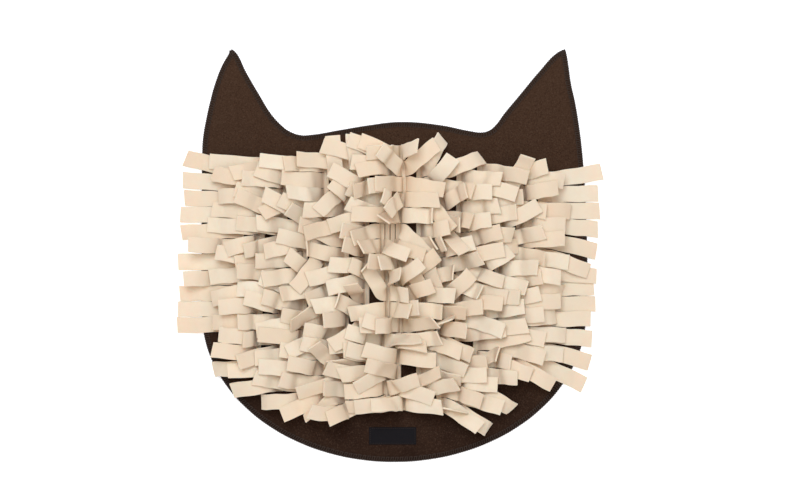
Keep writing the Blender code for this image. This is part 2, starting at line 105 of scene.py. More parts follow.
# how strips lie, by how many bands they are from the side; degrees
Habit = namedtuple("Habit", "yaw start_low start_high droop_low droop_high hold roll drift")
HABITS = [Habit(*row) for row in (
    (2, 8, 15, 12, 20, 0, 1, 1.5), (7, 52, 76, 18, 38, 1, 6, 5),
    (12, 52, 78, 20, 42, 1, 10, 7), (18, 52, 78, 20, 45, 1, 14, 8),
    (25, 52, 78, 20, 48, 2, 18, 9), (31, 50, 78, 20, 50, 2, 22, 9),
    (36, 52, 80, 18, 45, 2, 28, 9), (40, 80, 87, 22, 52, 1, 30, 9),
    (38, 82, 87, 22, 52, 1, 32, 9),
)]
# yaw of the strips at the two sides, top row first, degrees
SIDE_YAW = {
    0: (12, 6, 3, 1, 0, 1, -1, -2, 0, 1, -1),
    17: (8, 3, 0, -5, -13, -22, -6, -2, -1, -3, -6, -14, -24),
}
# strips that shape the top and bottom edges: how they fall, degrees
Chosen = namedtuple("Chosen", "band row yaw droop hold fall", defaults=["out"])
CHOSEN = [Chosen(*row) for row in (
    (4, 0, 4, 30, 1), (5, 0, 3, 30, 1), (5, 1, 84, 26, 1), (6, 0, 12, 30, 1),
    (6, 1, 82, 30, 1), (7, 0, 26, 32, 1), (8, 0, 22, 34, 2), (9, 0, 6, 40, 1, "in"),
    (10, 0, 20, 10, 1, "up"), (10, 1, 44, 28, 1), (11, 0, 56, 28, 1), (11, 1, 50, 28, 1),
    (12, 0, 22, 28, 1), (13, 0, -6, 28, 1), (14, 0, -14, 28, 1), (15, 1, 62, 24, 2),
    (16, 0, -3, 24, 1), (2, 14, -10, 24, 1), (3, 15, -6, 26, 1), (4, 15, -24, 32, 1),
    (6, 16, -14, 34, 1), (7, 16, -6, 32, 1), (8, 16, -4, 32, 1), (9, 16, 3, 40, 1, "in"),
    (10, 16, -6, 30, 1), (11, 15, -12, 26, 1), (12, 15, -34, 34, 1), (13, 15, -30, 32, 1),
    (14, 14, -30, 28, 1), (15, 12, -26, 26, 1), (15, 13, -24, 24, 1), (16, 12, -24, 22, 1),
)]
CHOSEN_AT = {(c.band, c.row): c for c in CHOSEN}

# a strip being laid, and the way it is tried
Strip = namedtuple("Strip", "band row fold start knots again stands")
Way = namedtuple("Way", "yaw drift roll droop hold stretch")

# ---- edge of the felt
OUTLINE_RIGHT = [
    (0.2105, 0.0610), (0.2066, 0.1166), (0.2033, 0.1431), (0.1989, 0.1696),
    (0.1945, 0.1895), (0.1917, 0.2094), (0.1900, 0.2200), (0.1884, 0.2271),
    (0.1801, 0.2227), (0.1613, 0.2028), (0.1392, 0.1762), (0.1227, 0.1564),
    (0.1127, 0.1431), (0.1055, 0.1372), (0.0965, 0.1350), (0.0840, 0.1365),
]
OUTLINE_TOP = [
    (0.0508, 0.1431), (0.0066, 0.1466), (-0.0265, 0.1431), (-0.0597, 0.1376),
    (-0.0900, 0.1325), (-0.1030, 0.1320),
]
OUTLINE_LEFT = [
    (-0.1171, 0.1370), (-0.1260, 0.1440), (-0.1370, 0.1564), (-0.1492, 0.1762),
    (-0.1646, 0.2028), (-0.1746, 0.2227), (-0.1790, 0.2270), (-0.1830, 0.2200),
    (-0.1890, 0.2094), (-0.1967, 0.1895), (-0.2022, 0.1696), (-0.2066, 0.1497),
    (-0.2100, 0.1298), (-0.2110, 0.1099), (-0.2115, 0.0610), (-0.2115, 0.0000),
]
EAR_TIPS = ((0.1884, 0.2271), (-0.1790, 0.2270))
CHIN_HALF_WIDE, CHIN_DEEP, CHIN_TOP_Y = 0.2113, 0.1640, -0.0630
CHIN_POINTS, CHIN_POINTS_FIELD = 18, 30


def head_outline(chin_points):
    """Points round the cat's head, seen from above."""
    chin = []
    for k in range(chin_points + 1):
        a = math.pi + math.pi * k / chin_points
        chin.append((CHIN_HALF_WIDE * math.cos(a), CHIN_TOP_Y + CHIN_DEEP * math.sin(a)))
    return OUTLINE_RIGHT + OUTLINE_TOP + OUTLINE_LEFT + chin


# ---- laying
def smooth(x):
    """0 to 1, gentle at both ends."""
    x = min(1.0, max(0.0, x))
    return x * x * (3 - 2 * x)


def grow(patch):
    """Spread every height one cell to all sides."""
    out = patch.copy()
    for dx in (-1, 0, 1):
        for dy in (-1, 0, 1):
            out = np.maximum(out, np.roll(np.roll(patch, dx, 0), dy, 1))
    return out


class Field:
    """Heights of all that has been laid, and the spots kept free."""

    def __init__(self, outline):
        self.nx, self.ny = int(2 * HALF_X / CELL), int(2 * HALF_Y / CELL)
        xs = (np.arange(self.nx) + 0.5) * CELL - HALF_X
        inside = np.zeros((self.nx, self.ny), bool)
        for row in range(self.ny):
            y = (row + 0.5) * CELL - HALF_Y
            cuts = sorted(
                x1 + (x2 - x1) * (y - y1) / (y2 - y1)
                for (x1, y1), (x2, y2) in zip(outline, outline[1:] + outline[:1])
                if (y1 > y) != (y2 > y)
            )
            for left, right in zip(cuts[::2], cuts[1::2]):
                inside[(xs > left) & (xs < right), row] = True
        self.height = grow(np.where(inside, BASE_THICK, 0.0))
        self.kept = np.zeros((self.nx, self.ny))

    def cells(self, p):
        i = np.clip(((p[..., 0] + HALF_X) / CELL).astype(int), 1, self.nx - 2)
        j = np.clip(((p[..., 1] + HALF_Y) / CELL).astype(int), 1, self.ny - 2)
        return i, j

    def under(self, p):
        i, j = self.cells(p)
        return self.height[i, j] + self.kept[i, j]

    def stamp(self, p):
        p = p.reshape(-1, 3)
        p = p[np.argsort(p[:, 2])]
        i, j = self.cells(p)
        i0, j0 = i.min() - 1, j.min() - 1
        patch = np.zeros((i.max() - i0 + 2, j.max() - j0 + 2))
        patch[i - i0, j - j0] = p[:, 2]
        part = self.height[i0:i0 + patch.shape[0], j0:j0 + patch.shape[1]]
        np.maximum(part, grow(patch), out=part)

    def keep(self, root, b, amount):
        """Close (1) or free again (-1) the column over a strip that is still to rise."""
        side = BANDS[b].side
        front = COLUMN_FRONT_STEEP if habit_of(b).start_low > STEEP else COLUMN_FRONT
        x0, x1 = sorted((root[0] - side * COLUMN_BACK, root[0] + side * front))
        i0, i1 = (int((x + HALF_X) / CELL) for x in (x0, x1))
        j0, j1 = (int((root[1] + d + HALF_Y) / CELL) for d in (-COLUMN_HALF, COLUMN_HALF))
        self.kept[i0:i1, j0:j1] += amount


def cross(a, b):
    x = a[1] * b[2] - a[2] * b[1]
    y = a[2] * b[0] - a[0] * b[2]
    return np.array([x, y, a[0] * b[1] - a[1] * b[0]])


def unit(a):
    return a / math.sqrt(a[0] ** 2 + a[1] ** 2 + a[2] ** 2)


def along_of(pitch, yaw, side):
    """Where a strip runs: pitch above the floor, yaw away from square to its seam."""
    flat = math.cos(pitch)
    return np.array([side * flat * math.cos(yaw), flat * math.sin(yaw), math.sin(pitch)])


def across_of(yaw, side, roll, along):
    """Where its width runs."""
    flat = np.array([-math.sin(yaw), side * math.cos(yaw), 0.0])
    flat = unit(flat - along * np.dot(flat, along))
    return flat * math.cos(roll) + cross(along, flat) * math.sin(roll)


def section(centre, along, across):
    """Four corners of the strip, square to its run."""
    half = across * STRIP_WIDE / 2
    thick = cross(along, across) * FLEECE / 2
    low, high = centre - thick, centre + thick
    return np.array([low - half, low + half, high + half, high - half])


def length(a, b):
    """Length of the piece from section a to section b."""
    d = (b[0] + b[2] - a[0] - a[2]) / 2
    return math.sqrt(d[0] ** 2 + d[1] ** 2 + d[2] ** 2)


@functools.lru_cache(maxsize=None)
def steps_of(n, m):
    """Shares of the way along, across and through a piece."""
    t = np.linspace(0, 1, n)[:, None, None, None]
    s = np.linspace(0, 1, m)[None, :, None, None]
    h = np.linspace(0, 1, 3)[None, None, :, None]
    return t, s, h


def samples(a, b, spacing):
    """Points all over the piece from section a to section b."""
    n = max(3, int(length(a, b) / spacing) + 1)
    m = max(3, int(STRIP_WIDE / spacing) + 1)
    t, s, h = steps_of(n, m)
    low = (a[0] * (1 - t) + b[0] * t) * (1 - s) + (a[1] * (1 - t) + b[1] * t) * s
    high = (a[3] * (1 - t) + b[3] * t) * (1 - s) + (a[2] * (1 - t) + b[2] * t) * s
    return low * (1 - h) + high * h


def is_clear(field, a, b, free):
    """True if the piece from a to b lies above everything, but for a free run at a."""
    for spacing in (COARSE, FINE):
        q = samples(a, b, spacing)
        low = q[..., 2] - field.under(q) < CLEAR
        if free:
            low[:int(math.ceil(free / length(a, b) * (len(low) - 1)))] = False
        if low.any():
            return False
    return True


def seam_of(band, row):
    """Where a row's strip leaves the seam of its band."""
    sway = MEANDER * math.sin(MEANDER_TURN * row) if abs(band.seam_x) < MEANDERS_WITHIN else 0.0
    return band.seam_x + band.side * band.lean * row + sway


def root_of(band, row):
    return np.array([seam_of(band, row), band.top_y - row * ROW_PITCH, ROOT_Z])


def rise(root, side, pitch):
    """The root and the first knot of a strip."""
    along = along_of(pitch, 0.0, side)
    return [(root, np.array([side, 0.0, 0.0]), np.array([0.0, side, 0.0])),
            (root + along * STEPS[0], along, across_of(0.0, side, 0.0, along))]


def march(field, strip, way, top):
    """The strip's knots, each as low as what is below lets it, and its greatest lift."""
    side = BANDS[strip.band].side
    knots = list(strip.knots)
    centre = knots[-1][0]
    last = section(*knots[-1])
    run, pitch, lift = STEPS[0], strip.start, 0.0
    for k, step in enumerate(STEPS[1:], 1):
        ds = step * way.stretch
        drift = way.drift * (run + ds) / STRIP_LONG
        yaw = way.yaw * smooth((run + ds / 2 - STEPS[0]) / TURN_RUN) + drift
        yaw_across = way.yaw * smooth((run + ds - STEPS[0]) / CROSS_RUN) + drift
        roll = way.roll * smooth((run + ds - ROLL_FROM) / ROLL_RUN)
        want = pitch if k <= way.hold else pitch - strip.fold * way.droop
        want = max(want, LOWEST) if strip.fold > 0 else min(want, HIGHEST_BACK)
        while True:
            if strip.fold * (want - UPRIGHT) > OVER:
                return None
            along = along_of(want, yaw, side)
            across = across_of(yaw_across, side, roll, along)
            goal = centre + along * ds
            here = section(goal, along, across)
            if goal[2] < top and is_clear(field, last, here, BEND_FREE if k == 1 else 0.0):
                break
            want += strip.fold * NUDGE
        lift = max(lift, abs(want - pitch))
        knots.append((goal, along, across))
        centre, last, pitch, run = goal, here, want, run + ds
    return knots, lift


def lay_heading(field, band):
    """Press a band's sewn-down heading into the field."""
    for row in range(band.rows):
        seam = seam_of(band, row)
        x0, x1 = sorted((seam, seam - band.side * HEADING))
        y = band.top_y - row * ROW_PITCH
        half = ROW_PITCH / 2
        xs, ys = np.meshgrid(np.arange(x0, x1, CELL), np.arange(y - half, y + half, CELL))
        field.stamp(np.stack([xs, ys, np.full_like(xs, ROOT_Z + FLEECE / 2)], -1))


def habit_of(b):
    return HABITS[min(b, len(BANDS) - 1 - b)]


def start_strip(field, b, row, fall, rng):
    """A strip's rise from its root, lifted until it clears what is laid."""
    band, habit = BANDS[b], habit_of(b)
    root = root_of(band, row)
    start = math.radians(rng.uniform(habit.start_low, habit.start_high))
    fold = -1 if fall == "in" else 1
    if fall != "out":
        start = math.radians(rng.uniform(INWARD_LOW, INWARD_HIGH))
    knots = rise(root, band.side, start)
    field.keep(root, b, -1.0)
    while not is_clear(field, section(*knots[0]), section(*knots[1]), ROOT_FREE):
        start += NUDGE
        knots = rise(root, band.side, start)
        if start > STEEPEST_ROOT:
            break
    field.keep(root, b, 1.0)
    return Strip(b, row, fold, start, knots, 0, fall == "up")


def way_of(strip, trial, rng):
    """One way to lay a strip, calmer with each trial."""
    band, habit = BANDS[strip.band], habit_of(strip.band)
    calm = 1 - LOW_CALM * smooth((strip.row / band.rows - CALM_FROM) / CALM_RUN)
    tame = max(TAME_LEAST, 1 - TAME_STEP * trial)
    yaw = max(-MOST_YAW, min(MOST_YAW, rng.gauss(0, habit.yaw * calm * tame)))
    drift = rng.gauss(0, habit.drift * tame)
    roll = rng.gauss(0, habit.roll * tame)
    droop = rng.uniform(habit.droop_low, habit.droop_high)
    hold = rng.randint(0, habit.hold)
    stretch = rng.uniform(STRETCH_LOW, STRETCH_HIGH)
    if strip.band in SIDE_YAW:
        yaw = SIDE_YAW[strip.band][strip.row] + rng.gauss(0, SIDE_WANDER)
    if (strip.band, strip.row) in CHOSEN_AT:
        chosen = CHOSEN_AT[strip.band, strip.row]
        yaw = chosen.yaw + rng.gauss(0, CHOSEN_WANDER)
        droop = chosen.droop + rng.gauss(0, CHOSEN_WANDER)
        hold = chosen.hold
        drift = 0.0
    elif strip.stands:
        droop = rng.uniform(STANDING_LOW, STANDING_HIGH)
        yaw, drift, roll = yaw * QUIET, drift * QUIET, roll * QUIET
    if strip.fold < 0:
        yaw *= INWARD_YAW
    if strip.again:
        hold = rng.randint(0, strip.again)
    if strip.again == PUT_OFF:
        yaw, drift, roll = yaw * QUIET, drift * QUIET, roll * QUIET
    yaw, drift, roll, droop = (math.radians(a) for a in (yaw, drift, roll, droop))
    return Way(yaw, drift, roll, droop, hold, stretch)


def best_lay(field, strip, rng):
    """The least lifted of some ways to lay a strip, or None."""
    best = None
    top = HIGHEST_TOP if strip.again or strip.stands or strip.fold < 0 else USUAL_TOP
    for trial in range(TRIES + MORE_TRIES * strip.again):
        got = march(field, strip, way_of(strip, trial, rng), top)
        if got and (best is None or got[1] < best[1]):
            best = got
        if best and best[1] < EASY_LIFT:
            break
    return best


def falls_of(rng):
    """How strips fall that don't fall out from their seam: in over it, or up on edge."""
    falls = {}
    for row in range(BANDS[MIDDLE[0]].rows):
        inward, other = rng.sample(MIDDLE, 2)
        falls[inward, row] = "in"
        if row in STANDING_ROWS and rng.random() < STANDING_SHARE:
            falls[other, row] = "up"
    for b in STRAY_BANDS:
        for row in STANDING_ROWS:
            if rng.random() < STRAY_SHARE:
                falls[b, row] = "up"
    falls.update({(c.band, c.row): c.fall for c in CHOSEN})
    return falls


def band_groups():
    """Bands in the order that they are laid: from both sides to the middle."""
    pairs = [[k, len(BANDS) - 1 - k] for k in range(MIDDLE[1])]
    alone = [[b] for pair in pairs for b in pair if b not in MIDDLE]
    return alone + [list(MIDDLE)]


def lay_strips():
    """All strips of all bands: {(band, row): knots}, a knot being (centre, along, across)."""
    rng = random.Random(SEED)
    field = Field(head_outline(CHIN_POINTS_FIELD))
    falls = falls_of(rng)
    for b, band in enumerate(BANDS):
        lay_heading(field, band)
        for row in range(band.rows):
            field.keep(root_of(band, row), b, 1.0)
    laid = {}
    for group in band_groups():
        waiting = []
        for b in group:
            for row in range(BANDS[b].rows):
                waiting.append(start_strip(field, b, row, falls.get((b, row), "out"), rng))
        for strip in waiting:
            field.stamp(samples(section(*strip.knots[0]), section(*strip.knots[1]), PRINT))
        rng.shuffle(waiting)
        waiting.sort(key=lambda strip: -strip.fold)
        while waiting:
            strip = waiting.pop(0)
            root = strip.knots[0][0]
            field.keep(root, strip.band, -1.0)
            best = best_lay(field, strip, rng)
            if best:
                parts = [section(*knot) for knot in best[0]]
                for p, q in zip(parts[1:], parts[2:]):
                    field.stamp(samples(p, q, PRINT))
                laid[strip.band, strip.row] = best[0]
            elif strip.again < PUT_OFF:
                field.keep(root, strip.band, 1.0)
                waiting.append(strip._replace(again=strip.again + 1))
    return laid


# ---- sizes of the looks
FLEECE_SHOWN = 0.0019  # cloth thickness
STRIP_SHOWN = 0.0169  # strip width: cut from one cloth, hardly apart at the roots
FLARE_SIDES = 0.09  # how much wider an outermost strip may get towards its tip
ROOT_WAIST = 0.0006  # how much narrower strips are just past their roots
HEADING_SHOWN = 0.0049  # wider than its solid, on the hidden side
RUNS = 4  # sections from one knot of a strip to the next
ACROSS = 4  # faces across a strip
FELT_EDGE, FLEECE_EDGE, LABEL_EDGE = 0.0005, 0.00028, 0.0002  # rounding
SHARP, FLEECE_SHARP = 50, 55  # edges over this many degrees are rounded
SMOOTH_UNDER, THREAD_SMOOTH_UNDER = 60, 100  # degrees
ROOT_PULL, FULLNESS = 0.6, 0.92  # how far a strip's curve follows its knots' directions
CUP_LOW, CUP_HIGH = -0.0004, 0.0007  # crown across a strip
CUT_SKEW = 0.09  # how far a strip's end is off square
CUT_WAVER, CUT_WAVES = 0.00035, (1.5, 3.5)  # unevenness of the long cuts
TONE_SPREAD = 0.20  # of the strips' own shades
ROOT_SHADE_SHARE, HEADING_SHADE = 0.5, 0.15  # painted shade, warmer: share of a strip that it covers, from its root; its strength on the headings
PARTING_SHADE = 0.35  # how much of that painted shade the four middle fringes have
SEAM_DIP = 0.0006  # how deep the seam presses into the heading
FLARE_LEFT = 0.8  # share of the room to its neighbours that a strip takes

FELT_RINGS = (0.0009, 0.0026, 0.0042, 0.0053, 0.0068, 0.0095)  # distances from the edge
FELT_GRID = 0.006
OUTLINE_STEP = 0.0028
EDGE_PINCH, GROOVE_PINCH = 0.76, 0.86  # felt thickness left at the edge and in the groove
EDGE_RUN = 0.0012
GROOVE_AT, GROOVE_WIDE = 0.0053, 0.0013
FAR, SAME_POINT = 1e9, 1e-7

OVERLOCK_PITCH = 0.0026
OVERLOCK_WIDE = 0.0044
OVERLOCK_REACH, OVERLOCK_LEAN = (0.94, 1.06), (0.25, 0.45)  # from one turn to the next
CHAIN_SWAY = 0.0002
KEPT_OFF, NEEDLE_OFF = 0.97, 0.9  # share of its depth that a line keeps from the edge
TAIL_ENDS, TAIL_LONG, TAIL_TURN, TAIL_FAN = 3, 0.0034, 150, 22  # degrees
THREAD = 0.00026  # radius
BULKY_THREAD = 0.00055  # of the overlock
STITCH_LONG, STITCH_GAP = 0.0027, 0.0007
# how a stitch lies: share of its length, height
NEEDLE_STITCH = ((0, -0.0003), (0.25, 0), (0.75, 0), (1, -0.0003))
SEAM_STITCH = ((0.0, -0.0004), (0.2, 0.0001), (0.8, 0.0001), (1.0, -0.0004))
LABEL_STITCH = ((0, -0.0002), (0.25, 0.00025), (0.75, 0.00025), (1, -0.0002))
LABEL_STITCH_LONG, LABEL_STITCH_GAP = 0.0017, 0.0006
LABEL_INSET = 0.0014  # of its stitches
LABEL_FOLD, LABEL_CROWN = 0.00018, 0.00022  # rise of the turned ends and of the middle
FOLD_FROM, FOLD_RUN = 0.86, 0.04  # shares of the label's half length
LABEL_COLUMNS, LABEL_ROWS = 26, 10

FLEECE_DEEPER, FLEECE_PALER = (0.845, 0.680, 0.490, 1), (0.910, 0.802, 0.628, 1)
FLEECE_DYE, FLEECE_ENDS = (0.885, 0.713, 0.532, 1), (0.945, 0.85, 0.715, 1)
# painted shade: a warmer colour laid over the strips near their roots and over the headings, low
# in the pile
FLEECE_ROOT_SHADE = (0.92, 0.685, 0.485, 1)
# painted sheen: the felt goes from the first colour at the chin to the second at the ears,
# lighter where the light from above falls
FELT_BROWN, FELT_SHEEN_TOP = (0.0236, 0.0114, 0.0071, 1), (0.060, 0.0314, 0.0179, 1)
# the second is painted shade for the hollows of the nap
FELT_DYE, FELT_HOLLOW_SHADE = (0.058, 0.0312, 0.0182, 1), (0.020, 0.0085, 0.0055, 1)
# the second is painted shade on the felt under the overlock thread
FELT_ENDS, FELT_THREAD_SHADE = (0.112, 0.070, 0.050, 1), (0.0120, 0.0068, 0.0050, 1)
DARK_THREAD, CREAM_THREAD = (0.041, 0.0278, 0.0210), (0.72, 0.62, 0.48)
YARN_BLACK, YARN_GREY = (0.0046, 0.0040, 0.0050, 1), (0.0150, 0.0134, 0.0163, 1)
FLOOR_WHITE, FLOOR_GLOW = (0.93, 0.93, 0.93, 1), 0.45
FLOOR_WIDE, FLOOR_Z = 30, -0.0002  # under the lowest thread

WORLD_LIGHT, WORLD_COLOUR = 0.41, (1.0, 0.84, 0.74, 1)
# name, place, size, power
LAMPS = (("key", (-0.30, 0.70, 2.5), 1.2, 33.0), ("fill", (0.50, -0.20, 2.7), 1.6, 15.0))
LAMP_COLOUR = (0.935, 1.03, 1.15)
CAMERA_HIGH = 3.0
PIXEL = 0.001105  # metres of floor to one picture column
PICTURE_WIDE = 800
CAMERA_X, CAMERA_Y = 0.0066, 0.0039
SENSOR = 36.0


# ---- small helpers
def deselect_all():
    bpy.ops.object.select_all(action="DESELECT")


def make_active(item):
    deselect_all()
    item.select_set(True)
    bpy.context.view_layer.objects.active = item


def link(item):
    bpy.context.scene.collection.objects.link(item)
    return item


def add_modifier(item, kind, **values):
    """Adds a modifier and applies it."""
    make_active(item)
    bpy.ops.object.modifier_add(type=kind)
    modifier = item.modifiers[-1]
    for key, value in values.items():
        setattr(modifier, key, value)
    bpy.ops.object.modifier_apply(modifier=modifier.name)


def round_edges(item, width, segments, angle):
    add_modifier(item, "BEVEL", width=width, segments=segments, limit_method="ANGLE",
                 angle_limit=math.radians(angle))


def soften(item, angle):
    make_active(item)
    bpy.ops.object.shade_smooth_by_angle(angle=math.radians(angle))


def new_piece(name, mesh, material):
    item = link(bpy.data.objects.new(name, mesh))
    mesh.materials.append(material)
    return item


def stitch(start, end, z, shape):
    """The run of points of one stitch."""
    start, end = np.array(start), np.array(end)
    return [(*(start + (end - start) * share), z + lift) for share, lift in shape]


def thread_work(name, runs, radius, material):
    """Sewing thread: one tube for each run of points, joined into one mesh."""
    curve = bpy.data.curves.new(name, "CURVE")
    curve.dimensions = "3D"
    curve.bevel_depth = radius
    curve.bevel_resolution = 0
    curve.use_fill_caps = True
    for run in runs:
        spline = curve.splines.new("POLY")
        spline.points.add(len(run) - 1)
        spline.points.foreach_set("co", [c for p in run for c in (*p, 1.0)])
    item = new_piece(name, curve, material)
    make_active(item)
    bpy.ops.object.convert(target="MESH")
    soften(item, THREAD_SMOOTH_UNDER)
    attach(item, "root")
    return item


# ---- node groups


class Nodes:
    """Short ways to place and join a tree's nodes."""

    def __init__(self, tree):
        self.tree = tree

    def add(self, kind, **settings):
        node = self.tree.nodes.new(kind)
        for key, value in settings.items():
            setattr(node, key, value)
        return node

    def join(self, source, target):
        self.tree.links.new(source, target)

    def feed(self, node, values):
        """Joins each input that is given a socket, and sets the others' plain values."""
        for key, value in values.items():
            if isinstance(value, bpy.types.NodeSocket):
                self.join(value, node.inputs[key])
            else:
                node.inputs[key].default_value = value

    def put(self, kind, out, values, **settings):
        """Places and feeds a node, and gives one of its outputs."""
        node = self.add(kind, **settings)
        self.feed(node, values)
        return node.outputs[out]

    def place(self):
        return self.put("ShaderNodeTexCoord", "Object", {})

    def read(self, attribute):
        return self.put("ShaderNodeAttribute", "Fac", {}, attribute_name=attribute)

    def math(self, operation, a, b):
        return self.put("ShaderNodeMath", 0, {0: a, 1: b}, operation=operation)

    def noise(self, vector, scale, detail, roughness):
        values = {"Vector": vector, "Scale": scale, "Detail": detail, "Roughness": roughness}
        return self.put("ShaderNodeTexNoise", "Fac", values)

    def wave(self, vector, direction, scale, distortion):
        values = {"Vector": vector, "Scale": scale, "Distortion": distortion}
        return self.put("ShaderNodeTexWave", "Fac", values, bands_direction=direction)

    def remap(self, value, low, high, out_low=0.0, out_high=1.0):
        values = {"Value": value, "From Min": low, "From Max": high,
                  "To Min": out_low, "To Max": out_high}
        return self.put("ShaderNodeMapRange", "Result", values)

    def blend(self, share, a, b):
        values = {"Factor": share, "A": a, "B": b}
        return self.put("ShaderNodeMix", "Result", values, data_type="RGBA")

    def tint(self, colour, *layers):
        """Lets other colours in, each by a share of its mask."""
        for mask, share, other in layers:
            colour = self.blend(self.math("MULTIPLY", mask, share), colour, other)
        return colour


def new_group(name, inputs, outputs):
    """A node group; an input without a plain value takes a vector."""
    group = bpy.data.node_groups.new(name, "ShaderNodeTree")
    for label, value in inputs.items():
        kind = "NodeSocketVector" if value is None else "NodeSocketFloat"
        socket = group.interface.new_socket(label, in_out="INPUT", socket_type=kind)
        if value is not None:
            socket.default_value = value
    for label in outputs:
        group.interface.new_socket(label, in_out="OUTPUT", socket_type="NodeSocketFloat")
    n = Nodes(group)
    return group, n, n.add("NodeGroupInput").outputs, n.add("NodeGroupOutput").inputs


def nap_group():
    """Short brushed fibres: a height, and masks of lighter fibre ends and of the nap's low
    hollows, for painted shade.
    """
    inputs = {"Vector": None, "Fibre": 1400.0, "Clump": 160.0}
    group, n, ins, outs = new_group("brushed_nap", inputs, ("Height", "Ends", "HollowShade"))
    fine = n.noise(ins["Vector"], ins["Fibre"], 3.0, 0.65)
    clump = n.noise(ins["Vector"], ins["Clump"], 2.0, 0.5)
    height = n.math("ADD", n.math("MULTIPLY", fine, 0.6), n.math("MULTIPLY", clump, 0.8))
    n.join(height, outs["Height"])
    n.join(n.remap(fine, 0.54, 0.72), outs["Ends"])
    # painted shade: the low spots of the nap
    n.join(n.remap(fine, 0.47, 0.34), outs["HollowShade"])
    return group


def mottle_group():
    """Slow unevenness of a dye: one mask, 0 to 1."""
    group, n, ins, outs = new_group("uneven_dye", {"Vector": None, "Scale": 30.0}, ["Mask"])
    n.join(n.remap(n.noise(ins["Vector"], ins["Scale"], 3.0, 0.55), 0.34, 0.66), outs["Mask"])
    return group


def place_group(n, group, **values):
    node = n.add("ShaderNodeGroup")
    node.node_tree = group
    n.feed(node, values)
    return node.outputs


def new_material(name):
    material = bpy.data.materials.new(name)
    material.use_nodes = True
    shader = material.node_tree.nodes["Principled BSDF"]
    return material, Nodes(material.node_tree), shader


def finish_shader(n, shader, colour, height, strength, distance, **plain):
    """Gives a shader its colour, its plain values and the relief of a height."""
    n.join(colour, shader.inputs["Base Color"])
    set_plain(shader, **plain)
    relief = {"Strength": strength, "Distance": distance, "Height": height}
    n.join(n.put("ShaderNodeBump", "Normal", relief), shader.inputs["Normal"])


def set_plain(shader, **plain):
    """Sets sockets by name, with an underscore for a space."""
    for key, value in plain.items():
        shader.inputs[key.replace("_", " ")].default_value = value


# ---- materials
def fleece_material(nap, mottle):
    """Cream fleece: soft nap, each strip a shade of its own, and painted shade, warmer towards
    its root.
    """
    material, n, shader = new_material("cream_fleece")
    cloth = n.put("ShaderNodeUVMap", "UV", {}, uv_map="cloth")
    fibres = place_group(n, nap, Vector=cloth, Fibre=1500.0, Clump=240.0)
    dye = place_group(n, mottle, Vector=cloth, Scale=110.0)
    face = n.tint(
        n.blend(n.read("tone"), FLEECE_DEEPER, FLEECE_PALER),
        (dye["Mask"], 0.45, FLEECE_DYE),
        (fibres["Ends"], 0.25, FLEECE_ENDS),
        # painted shade: warmer towards the roots, low in the pile
        (n.read("root_shade"), 0.8, FLEECE_ROOT_SHADE),
    )
    finish_shader(n, shader, face, fibres["Height"], 0.30, 0.0005, Roughness=0.92,
                  Specular_IOR_Level=0.2, Sheen_Weight=0.10, Sheen_Roughness=0.5,
                  Subsurface_Weight=0.3, Subsurface_Radius=(1.0, 0.6, 0.45),
                  Subsurface_Scale=0.003)
    return material


def felt_material(nap, mottle):
    """Dark brown pressed felt with paler fibres, and painted sheen that makes it lighter towards
    the ears.
    """
    material, n, shader = new_material("brown_felt")
    place = n.place()
    fibres = place_group(n, nap, Vector=place, Fibre=780.0, Clump=150.0)
    dye = place_group(n, mottle, Vector=place, Scale=22.0)
    # painted sheen: lighter towards the ears, where the light from above falls more
    sheen_towards_ears = n.remap(n.put("ShaderNodeSeparateXYZ", "Y", {"Vector": place}), -0.19, 0.20)
    ground = n.tint(
        n.blend(sheen_towards_ears, FELT_BROWN, FELT_SHEEN_TOP),
        (dye["Mask"], 0.35, FELT_DYE),
        # painted shade in the nap's hollows
        (fibres["HollowShade"], 0.6, FELT_HOLLOW_SHADE),
        (fibres["Ends"], 0.48, FELT_ENDS),
        # painted shade on the felt under the overlock thread
        (n.read("sewn"), 0.45, FELT_THREAD_SHADE),
    )
    finish_shader(n, shader, ground, fibres["Height"], 0.45, 0.0006, Roughness=0.95,
                  Specular_IOR_Level=0.05, Sheen_Weight=0.01, Sheen_Roughness=0.6)
    return material


def thread_material(name, colour, sheen):
    """Spun thread: fine slanting twist."""
    material, n, shader = new_material(name)
    twist = n.wave(n.place(), "DIAGONAL", 900.0, 2.0)
    pale = tuple(min(1.0, c * 1.7) for c in colour)
    yarn = n.blend(n.math("MULTIPLY", twist, 0.6), (*colour, 1), (*pale, 1))
    finish_shader(n, shader, yarn, twist, 0.5, 0.0002, Roughness=0.8,
                  Specular_IOR_Level=0.15, Sheen_Weight=sheen)
    return material


def label_material():
    """Near-black woven ribbon: a fine rib of weft threads."""
    material, n, shader = new_material("woven_ribbon")
    place = n.place()
    weft, warp = n.wave(place, "Y", 620.0, 0.6), n.wave(place, "X", 900.0, 0.6)
    weave = n.math("MULTIPLY", weft, n.remap(warp, 0, 1, 0.6, 1.0))
    yarn = n.blend(weave, YARN_BLACK, YARN_GREY)
    finish_shader(n, shader, yarn, weave, 0.4, 0.0003, Roughness=0.82,
                  Specular_IOR_Level=0.15)
    return material


# ---- fleece fringes
def hermite(p, q, m, n, t):
    """The point at t of the curve from p to q that leaves along m and arrives along n."""
    t2, t3 = t * t, t * t * t
    start = p * (2 * t3 - 3 * t2 + 1) + m * (t3 - 2 * t2 + t)
    return start + q * (3 * t2 - 2 * t3) + n * (t3 - t2)


def smooth_run(values, first):
    """Points of a smooth run through some values, setting out in the first direction."""
    inner = [(after - before) * FULLNESS / 2 for before, after in zip(values, values[2:])]
    slopes = [first] + inner + [(values[-1] - values[-2]) * FULLNESS]
    run = [values[0]]
    for p, q, m, n in zip(values, values[1:], slopes, slopes[1:]):
        run += [hermite(p, q, m, n, t) for t in np.arange(1, RUNS + 1) / RUNS]
    return run


